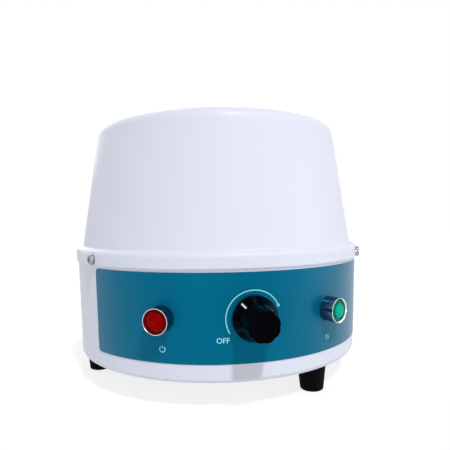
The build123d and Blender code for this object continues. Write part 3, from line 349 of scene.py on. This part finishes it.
# each lens's flank gets a darker colour and a weaker glow than its boss, though both are one
# moulding: painted shade in the well of the bezel
for lamp, side, colors in (
    ("power", -1, ((0.20, 0.0, 0.0), (0.27, 0.0, 0.0), (1.0, 0.15, 0.1), 0.05, 0.14)),
    ("pilot", 1, ((0.0, 0.17, 0.105), (0.0, 0.36, 0.245), (0.1, 1.0, 0.8), 0.10, 0.30)),
):
    flank_color, boss_color, tinge, flank_glow, boss_glow = colors
    bezel = turned(f"{lamp}_bezel_turned", side * LAMP_ANGLE, bezel_profile,
                   (MATERIALS["lamp_barrel"], MATERIALS["lamp_chrome"]), LAMP_SEGMENTS,
                   "housing", closed=True)
    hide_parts(f"{lamp}_lamp_bezel")
    glass = turned(f"{lamp}_lens_moulded", side * LAMP_ANGLE, lens_profile,
                   (lens(f"{lamp}_lens_flank", flank_color, flank_glow, tinge),
                    lens(f"{lamp}_lens_boss", boss_color, boss_glow, tinge)),
                   LAMP_SEGMENTS, "housing")
    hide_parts(f"{lamp}_lamp_lens")

POINTER_ANGLE = math.radians(132.0)     # at rest, counter-clockwise from the right
KNOB_SEGMENTS = 192
FLUTES = 8
FLUTE_DEPTH = 0.55
FLUTE_RUN_IN = 2.5                  # height over which the flutes deepen
FLUTE_SHARPNESS = 2.2
KNOB_BORE = 3.02                    # for the spindle
KNOB_BORE_DEPTH = 20.0
KNOB_HOLLOW = 9.5                   # under the skirt, over the regulator's nut
KNOB_HOLLOW_DEPTH = 5.0
FRONT_EDGE = 0.5                    # rounding of the front's edge
FRONT_SINK = 0.12                   # middle of the front, below its rim
KNOB_BASE = 1.37
BEVEL_FOOT = KNOB_BASE + 3.4
BEVEL_TOP = BEVEL_FOOT + 6.9
KNOB_FRONT = 23.2
SKIRT_RADIUS = 14.7
GRIP_RADIUS = 11.4
FRONT_RADIUS = 10.15
GRIP_ROWS = 14
SET_SCREW_HEIGHT = KNOB_BASE + 14.0
SET_SCREW_BORE = 1.55


def fluted(radius, height, angle):
    """Radius of the knob with its eight shallow flutes, which run out above the bevel."""
    if radius <= KNOB_BORE or height < BEVEL_TOP:
        return radius
    run_in = min(1.0, (height - BEVEL_TOP) / FLUTE_RUN_IN)
    wave = 0.5 + 0.5 * math.cos(FLUTES * (angle - POINTER_ANGLE))
    return radius - FLUTE_DEPTH * radius / GRIP_RADIUS * run_in * wave ** FLUTE_SHARPNESS


knob_profile = [
    (0, KNOB_BASE + KNOB_BORE_DEPTH, 0), (KNOB_BORE, KNOB_BASE + KNOB_BORE_DEPTH, 0),
    (KNOB_BORE, KNOB_BASE + KNOB_HOLLOW_DEPTH, 0),
    (KNOB_HOLLOW, KNOB_BASE + KNOB_HOLLOW_DEPTH, 0), (KNOB_HOLLOW, KNOB_BASE, 0),
    (SKIRT_RADIUS - 0.2, KNOB_BASE, 0),
    (SKIRT_RADIUS, KNOB_BASE + 0.2, 0), (SKIRT_RADIUS, BEVEL_FOOT, 0),
]
for row in range(GRIP_ROWS + 1):
    share = row / GRIP_ROWS
    knob_profile.append((GRIP_RADIUS + (FRONT_RADIUS - GRIP_RADIUS) * share,
                         BEVEL_TOP + (KNOB_FRONT - FRONT_EDGE - BEVEL_TOP) * share, 0))
knob_profile += [
    (FRONT_RADIUS - 0.12, KNOB_FRONT - 0.2, 0), (FRONT_RADIUS - 0.45, KNOB_FRONT, 0),
    (FRONT_RADIUS - 2.4, KNOB_FRONT, 0), (FRONT_RADIUS - 2.6, KNOB_FRONT - FRONT_SINK, 0),
    (FRONT_RADIUS - 3.2, KNOB_FRONT - FRONT_SINK, 0), (0, KNOB_FRONT - FRONT_SINK, 0),
]
grip = turned("knob_fluted", 0.0, knob_profile, (MATERIALS["knob_black"],), KNOB_SEGMENTS,
              "knob", radius_at=fluted)


def bore_set_screw(piece):
    """Cuts the hole of the set screw, opposite the pointer, and applies the cut."""
    side = POINTER_ANGLE + math.pi
    start = panel_point(0.0, SET_SCREW_HEIGHT * MM, 2.0 * MM, side)
    end = panel_point(0.0, SET_SCREW_HEIGHT * MM, (GRIP_RADIUS + 1.0) * MM, side)
    cutter = bmesh.new()
    bmesh.ops.create_cone(cutter, cap_ends=True, segments=32, radius1=SET_SCREW_BORE * MM,
                          radius2=SET_SCREW_BORE * MM, depth=(end - start).length)
    turn = (end - start).to_track_quat("Z", "Y").to_matrix().to_4x4()
    bmesh.ops.transform(cutter, matrix=Matrix.Translation((start + end) / 2) @ turn,
                        verts=cutter.verts)
    mesh = bpy.data.meshes.new("set_screw_cutter")
    cutter.to_mesh(mesh)
    cutter.free()
    tool = add_object("set_screw_cutter", mesh)
    cut = piece.modifiers.new("set_screw", "BOOLEAN")
    cut.object = tool
    cut.solver = "EXACT"
    bored = bpy.data.meshes.new_from_object(
        piece.evaluated_get(bpy.context.evaluated_depsgraph_get()))
    piece.modifiers.remove(cut)
    piece.data = bored
    bpy.data.objects.remove(tool)
    bored.set_sharp_from_angle(angle=SHARP_ANGLE)


bore_set_screw(grip)
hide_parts("knob")

POINTER_LENGTH = 5.9 * MM
POINTER_WIDTH = 1.25 * MM
POINTER_LIFT = 0.10 * MM
POINTER_SINK = 0.30 * MM            # below the bevel, so that no gap shows
POINTER_STEPS = 12                  # round either end


def pointer_bar():
    """White line down the bevel of the skirt, with rounded ends and a slightly crowned face."""
    foot = panel_point(0.0, BEVEL_FOOT * MM, SKIRT_RADIUS * MM, POINTER_ANGLE)
    top = panel_point(0.0, BEVEL_TOP * MM, GRIP_RADIUS * MM, POINTER_ANGLE)
    along = (top - foot).normalized()
    beside = panel_point(0.0, BEVEL_FOOT * MM, SKIRT_RADIUS * MM, POINTER_ANGLE + math.pi / 2)
    centre = panel_point(0.0, BEVEL_FOOT * MM, 0.0, 0.0)
    across = (beside - centre).normalized()
    normal = across.cross(along)
    if normal.dot(foot - centre) < 0:
        normal = -normal
    middle = (foot + top) / 2
    half = POINTER_WIDTH / 2
    straight = POINTER_LENGTH / 2 - half
    outline = []
    for end, start in ((straight, 0.0), (-straight, math.pi)):
        for step in range(POINTER_STEPS + 1):
            angle = start + math.pi * step / POINTER_STEPS
            outline.append((half * math.cos(angle), end + half * math.sin(angle)))
    vertices, faces = [], []
    levels = ((1.0, -POINTER_SINK), (1.0, POINTER_LIFT * 0.6), (0.82, POINTER_LIFT))
    for shrink, level in levels:
        for x, y in outline:
            place_along = y - (1 - shrink) * half * (1 if y > 0 else -1)
            vertices.append(middle + shrink * x * across + place_along * along + level * normal)
    count = len(outline)
    for layer in range(len(levels) - 1):
        for step in range(count):
            after = (step + 1) % count
            faces.append((layer * count + step, layer * count + after,
                          (layer + 1) * count + after, (layer + 1) * count + step))
    faces.append(tuple(reversed(range(count))))
    faces.append(tuple(range((len(levels) - 1) * count, len(levels) * count)))
    mesh = bpy.data.meshes.new("pointer_line")
    mesh.from_pydata(vertices, [], faces)
    mesh.update()
    piece = add_object("pointer_line", mesh)
    dress(piece, MATERIALS["pointer_white"])
    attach(piece, "knob")
    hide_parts("knob_pointer")


pointer_bar()

# ---- Woven nest ----------------------------------------------------------------------------
# Rows of braided glass yarn, coiled from the bottom of the nest to its mouth.

_, nest_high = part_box("heating_nest")
NEST_TOP = nest_high.z
NEST_OUTER = nest_high.x
NEST_RADIUS = 67.0 * MM
NEST_WALL = 6.0 * MM
LIP_DROP = 2.0 * MM                 # last row of yarn, below the collar
COLLAR_DROP = 6.0 * MM              # outer edge of the collar
PLAIN_STAND = 0.6                   # shade of the plain cloth, as a share of the yarn's crests
# GROOVE_STAND: painted shade of the yarn in the grooves, under the collar and at the bottom of the
# nest
GROOVE_STAND = 0.3
NEST_ROWS = 23
ROW_SAMPLES = 7
NEST_COLUMNS = 480
CORD_HEIGHT = 1.5 * MM
BRAID_HEIGHT = 0.55 * MM
STITCH = 7.2 * MM


def yarn_relief(turn, row_place):
    """Depth of the weave below its crests, in metres, and 0..1 for how far it stands out."""
    row = min(NEST_ROWS - 1, int(row_place))
    across = 2.0 * (row_place - row) - 1.0
    row_radius = NEST_RADIUS * math.sin((row + 0.5) / NEST_ROWS * math.pi / 2)
    stitches = max(5, round(2 * math.pi * row_radius / STITCH))
    chevron = turn * stitches + 0.5 * row + 0.32 * abs(across)
    braid = 0.5 + 0.5 * math.cos(2 * math.pi * chevron)
    crown = math.sqrt(max(0.0, 1.0 - across * across))
    stand = (CORD_HEIGHT * crown + BRAID_HEIGHT * braid * crown) / (CORD_HEIGHT + BRAID_HEIGHT)
    return (CORD_HEIGHT + BRAID_HEIGHT) * (1.0 - stand), stand


def weave_nest():
    """The nest as one closed mesh: woven bowl, plain collar under the cover and outer shell."""
    rows = []
    steps = NEST_ROWS * ROW_SAMPLES
    for step in range(1, steps + 1):
        row_place = step * NEST_ROWS / steps
        polar = row_place / NEST_ROWS * math.pi / 2
        ring = []
        for column in range(NEST_COLUMNS):
            turn = column / NEST_COLUMNS
            depth, stand = yarn_relief(turn, row_place)
            radius = NEST_RADIUS + depth
            ring.append((radius * math.sin(polar), NEST_TOP - radius * math.cos(polar), stand))
        rows.append(ring)
    lip = rows[-1]
    rows[-1] = [(radius, NEST_TOP - LIP_DROP, GROOVE_STAND) for radius, _, _ in lip]
    for radius, height in ((NEST_RADIUS + 2.6 * MM, -0.9 * MM), (NEST_RADIUS + 4.0 * MM, 0.0),
                           (NEST_OUTER, 0.0), (NEST_OUTER, -COLLAR_DROP)):
        rows.append([(radius, NEST_TOP + height, PLAIN_STAND)] * NEST_COLUMNS)
    outer = NEST_RADIUS + NEST_WALL
    for polar in (85.0, 60.0, 30.0, 8.0):
        angle = math.radians(polar)
        place = (outer * math.sin(angle), NEST_TOP - outer * math.cos(angle), PLAIN_STAND)
        rows.append([place] * NEST_COLUMNS)
    vertices = [(0.0, 0.0, NEST_TOP - NEST_RADIUS - CORD_HEIGHT)]
    relief = [GROOVE_STAND]
    for ring in rows:
        for column, (radius, z, stand) in enumerate(ring):
            turn = 2 * math.pi * column / NEST_COLUMNS
            vertices.append((radius * math.cos(turn), radius * math.sin(turn), z))
            relief.append(stand)
    vertices.append((0.0, 0.0, NEST_TOP - outer))
    relief.append(PLAIN_STAND)
    faces = []
    last = len(vertices) - 1
    for column in range(NEST_COLUMNS):
        after = (column + 1) % NEST_COLUMNS
        faces.append((0, 1 + column, 1 + after))
        for row in range(len(rows) - 1):
            near = 1 + row * NEST_COLUMNS
            far = near + NEST_COLUMNS
            faces.append((near + column, far + column, far + after, near + after))
        end = 1 + (len(rows) - 1) * NEST_COLUMNS
        faces.append((end + column, last, end + after))
    mesh = bpy.data.meshes.new("nest_weave")
    mesh.from_pydata(vertices, [], faces)
    mesh.attributes.new("relief", "FLOAT", "POINT").data.foreach_set("value", relief)
    mesh.shade_smooth()
    mesh.update()
    return add_object("nest_weave", mesh)


nest = weave_nest()
dress(nest, glass_yarn())
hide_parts("heating_nest")
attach(nest, "housing")

# ---- Print on the label --------------------------------------------------------------------

PRINT_LIFT = 0.01 * MM
PRINT_THICKNESS = 0.04 * MM
LETTER_SWELL = 0.00004              # makes the strokes of a word bolder, in metres
CAPITAL_SHARE = 0.7                 # height of a capital to the font's size
ink = moulded("print_ink", (0.34, 0.88, 1.0), 0.5, grain=3000.0, depth=0.000005,
              Specular_IOR_Level=0.2)


def ink_on_housing(name, mesh):
    """One printed mark, which stays with the housing."""
    piece = add_object(name, mesh)
    dress(piece, ink)
    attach(piece, "housing")


def label_point(across, rise, lift):
    """Point of the label, `across` along it and `rise` above the knob's axis."""
    z = PANEL_Z + rise
    radius = WALL_RADIUS + (z - PANEL_Z) * math.tan(WALL_DRAFT) + LABEL_FACE + lift
    turn = across / WALL_RADIUS
    return Vector((radius * math.sin(turn), -radius * math.cos(turn), z))


def on_label(name, outlines):
    """Ink laid on the label: each outline is two rows of points, between which it is filled."""
    vertices, faces = [], []
    for first_row, second_row in outlines:
        (x1, y1), (x2, y2), (x3, y3) = first_row[0], second_row[0], second_row[1]
        if (x2 - x1) * (y3 - y1) < (x3 - x1) * (y2 - y1):       # runs clockwise: turn it over
            first_row, second_row = second_row, first_row
        start = len(vertices)
        for (x1, y1), (x2, y2) in zip(first_row, second_row):
            for lift in (PRINT_LIFT, PRINT_LIFT + PRINT_THICKNESS):
                vertices.append(label_point(x1, y1, lift))
                vertices.append(label_point(x2, y2, lift))
        for step in range(len(first_row) - 1):
            a = start + 4 * step
            b = a + 4
            faces += [(a + 2, a + 3, b + 3, b + 2), (a + 1, a, b, b + 1),
                      (a, a + 2, b + 2, b), (a + 3, a + 1, b + 1, b + 3)]
        end = start + 4 * (len(first_row) - 1)
        faces += [(start, start + 1, start + 3, start + 2), (end + 1, end, end + 2, end + 3)]
    mesh = bpy.data.meshes.new(name)
    mesh.from_pydata(vertices, [], faces)
    mesh.update()
    ink_on_housing(name, mesh)


def arc_band(centre, radius, width, start, end, steps):
    """Band along an arc, with angles in degrees counter-clockwise from the right."""
    rows = []
    for r in (radius + width / 2, radius - width / 2):
        angles = [math.radians(start + (end - start) * i / steps) for i in range(steps + 1)]
        rows.append([(centre[0] + r * math.cos(a), centre[1] + r * math.sin(a)) for a in angles])
    return tuple(rows)


def bar(start, end, width, steps=4):
    """Straight band from one point to another."""
    length = math.dist(start, end)
    side = (-(end[1] - start[1]) / length * width / 2, (end[0] - start[0]) / length * width / 2)
    rows = []
    for sign in (1, -1):
        rows.append([
            (start[0] + (end[0] - start[0]) * i / steps + sign * side[0],
             start[1] + (end[1] - start[1]) * i / steps + sign * side[1])
            for i in range(steps + 1)
        ])
    return tuple(rows)


# regulator arc: from OFF, clockwise over the top, to an arrowhead on the right
ARC_RADIUS = 18.1 * MM
ARC_WIDTH = 0.62 * MM
ARC_CENTRE = (0.0, -0.4 * MM)
ARC_START = 210.5
ARC_END = 21.0
ARROW_LENGTH = 2.0 * MM
ARROW_WIDTH = 0.45 * MM
ARROW_SPREAD = 32.0                 # degrees to either side
arrow_tip = (ARC_CENTRE[0] + ARC_RADIUS * math.cos(math.radians(ARC_END)),
             ARC_CENTRE[1] + ARC_RADIUS * math.sin(math.radians(ARC_END)))
arrow = []
for spread in (-ARROW_SPREAD, ARROW_SPREAD):
    back = math.radians(ARC_END + 90.0 + spread)
    arrow.append(bar(arrow_tip, (arrow_tip[0] + ARROW_LENGTH * math.cos(back),
                                 arrow_tip[1] + ARROW_LENGTH * math.sin(back)), ARROW_WIDTH, 2))
on_label("print_regulator_arc",
         [arc_band(ARC_CENTRE, ARC_RADIUS, ARC_WIDTH, ARC_START, ARC_END, 96), *arrow])

# symbols under the lamps: supply on the left, heat on the right
SYMBOL_RISE = -20.0 * MM            # from the knob's axis
SYMBOL_LINE = 0.5 * MM
lamp_across = WALL_RADIUS * LAMP_ANGLE
supply_centre = (-lamp_across, SYMBOL_RISE)
on_label("print_supply_symbol", [
    arc_band(supply_centre, 1.9 * MM, SYMBOL_LINE, 125.0, 415.0, 40),
    bar((supply_centre[0], SYMBOL_RISE + 0.5 * MM), (supply_centre[0], SYMBOL_RISE + 2.5 * MM),
        SYMBOL_LINE),
])


def heat_wave(centre, height, width):
    """One wavy line of a heat symbol."""
    steps = 16
    rows = [[], []]
    for i in range(steps + 1):
        t = i / steps
        x = centre[0] + 0.45 * MM * math.sin(2 * math.pi * t)
        y = centre[1] + height * (t - 0.5)
        rows[0].append((x - width / 2, y))
        rows[1].append((x + width / 2, y))
    return tuple(rows)


on_label("print_heat_symbol", [
    heat_wave((lamp_across + shift * MM, SYMBOL_RISE), 3.8 * MM, SYMBOL_LINE)
    for shift in (-1.6, 0.0, 1.6)
])


def printed_word(name, text, centre, cap_height):
    """A word in plain capitals, wrapped onto the label."""
    curve = bpy.data.curves.new(name, "FONT")
    curve.body = text
    curve.size = cap_height / CAPITAL_SHARE
    curve.align_x = "CENTER"
    curve.align_y = "CENTER"
    curve.extrude = PRINT_THICKNESS / 2
    curve.offset = LETTER_SWELL
    curve.resolution_u = 6
    flat = add_object(name + "_flat", curve)
    mesh = bpy.data.meshes.new_from_object(flat)
    bpy.data.objects.remove(flat)
    for vertex in mesh.vertices:
        x, y, z = vertex.co
        vertex.co = label_point(centre[0] + x, centre[1] + y, PRINT_LIFT + PRINT_THICKNESS / 2 + z)
    ink_on_housing(name, mesh)


printed_word("print_off", "OFF", (-20.0 * MM, -14.0 * MM), 3.4 * MM)

# ---- Floor, light and camera ---------------------------------------------------------------

scene = bpy.context.scene
scene.view_settings.view_transform = "Standard"


def backdrop_mix(tree, shaded, plain):
    """Shows `plain` to the camera, mirrors and glass, and `shaded` to all other light."""
    path = tree.nodes.new("ShaderNodeLightPath")
    either = tree.nodes.new("ShaderNodeMath")
    either.operation = "MAXIMUM"
    both = tree.nodes.new("ShaderNodeMath")
    both.operation = "MAXIMUM"
    mix = tree.nodes.new("ShaderNodeMixShader")
    tree.links.new(path.outputs["Is Camera Ray"], either.inputs[0])
    tree.links.new(path.outputs["Is Glossy Ray"], either.inputs[1])
    tree.links.new(either.outputs[0], both.inputs[0])
    tree.links.new(path.outputs["Is Transmission Ray"], both.inputs[1])
    tree.links.new(both.outputs[0], mix.inputs["Fac"])
    tree.links.new(shaded, mix.inputs[1])
    tree.links.new(plain, mix.inputs[2])
    return mix.outputs[0]


WORLD_LIGHT = 0.33
world = bpy.data.worlds.new("studio")
world.use_nodes = True
scene.world = world
tree = world.node_tree
ambient = tree.nodes["Background"]
ambient.inputs["Color"].default_value = (0.97, 0.98, 1.0, 1.0)
ambient.inputs["Strength"].default_value = WORLD_LIGHT
white = tree.nodes.new("ShaderNodeBackground")
white.inputs["Color"].default_value = (1.0, 1.0, 1.0, 1.0)
white.inputs["Strength"].default_value = 1.0
tree.links.new(backdrop_mix(tree, ambient.outputs[0], white.outputs[0]),
               tree.nodes["World Output"].inputs["Surface"])

FLOOR_HALF = 3.0
corners = ((-1, -1), (1, -1), (1, 1), (-1, 1))
floor_mesh = bpy.data.meshes.new("floor")
floor_mesh.from_pydata([(x * FLOOR_HALF, y * FLOOR_HALF, 0) for x, y in corners], [],
                       [(0, 1, 2, 3)])
floor = add_object("floor", floor_mesh)
# the paper glows for the camera and in mirrors, so it stays white and keeps a faint shadow
PAPER_GLOW = 0.81
PAPER_SHADOW = 0.24                 # part of what the camera sees that a shadow can darken
paper = Surface("paper", (0.87, 0.87, 0.87), 0.9)
paper.tint(paper.noise(3.0), (0.86, 0.86, 0.86), (0.88, 0.88, 0.88))
glow = paper.node("ShaderNodeEmission", Strength=PAPER_GLOW)
shadow_part = paper.node("ShaderNodeBsdfDiffuse")
shadow_part.inputs["Color"].default_value = (PAPER_SHADOW, PAPER_SHADOW, PAPER_SHADOW, 1.0)
seen = paper.node("ShaderNodeAddShader")
paper.link(glow.outputs[0], seen.inputs[0])
paper.link(shadow_part.outputs[0], seen.inputs[1])
paper.link(backdrop_mix(paper.tree, paper.shader.outputs[0], seen.outputs[0]),
           paper.tree.nodes["Material Output"].inputs["Surface"])
dress(floor, paper.material)


def far_light(name, direction, strength, spread):
    """Even white light from one side; `direction` points from the object to the lamp."""
    data = bpy.data.lights.new(name, "SUN")
    data.energy = strength
    data.angle = math.radians(spread)
    lamp = add_object(name, data)
    lamp.rotation_euler = Vector(direction).to_track_quat("Z", "Y").to_euler()


far_light("key", (0.19, -1.0, 1.42), 1.82, 5.0)
far_light("fill_right", (1.0, -0.36, 0.05), 0.62, 26.0)
far_light("fill_front", (-0.50, -1.0, 0.10), 0.33, 16.0)
far_light("fill_back", (-0.3, 1.0, 0.55), 0.60, 40.0)

# camera at the photograph's place: near the left of the knob, just above half height
CAMERA_PLACE = Vector((-0.0785, -0.3894, 0.1230))
CAMERA_HEADING = math.radians(12.46)
CAMERA_PITCH = math.radians(-0.796)
CAMERA_ROLL = math.radians(-0.831)
FOCAL_PIXELS = 449.5
IMAGE_PIXELS = 450.0
SENSOR = 36.0
forward = Vector((math.sin(CAMERA_HEADING) * math.cos(CAMERA_PITCH),
                  math.cos(CAMERA_HEADING) * math.cos(CAMERA_PITCH), math.sin(CAMERA_PITCH)))
level_right = Vector((math.cos(CAMERA_HEADING), -math.sin(CAMERA_HEADING), 0.0))
level_up = level_right.cross(forward)
right = math.cos(CAMERA_ROLL) * level_right + math.sin(CAMERA_ROLL) * level_up
up = right.cross(forward)
camera_data = bpy.data.cameras.new("camera")
camera_data.sensor_width = SENSOR
camera_data.lens = SENSOR * FOCAL_PIXELS / IMAGE_PIXELS
camera_data.clip_start = 0.01
camera = add_object("camera", camera_data)
camera_axes = Matrix((right, up, -forward)).transposed().to_4x4()
camera.matrix_world = Matrix.Translation(CAMERA_PLACE) @ camera_axes
scene.camera = camera
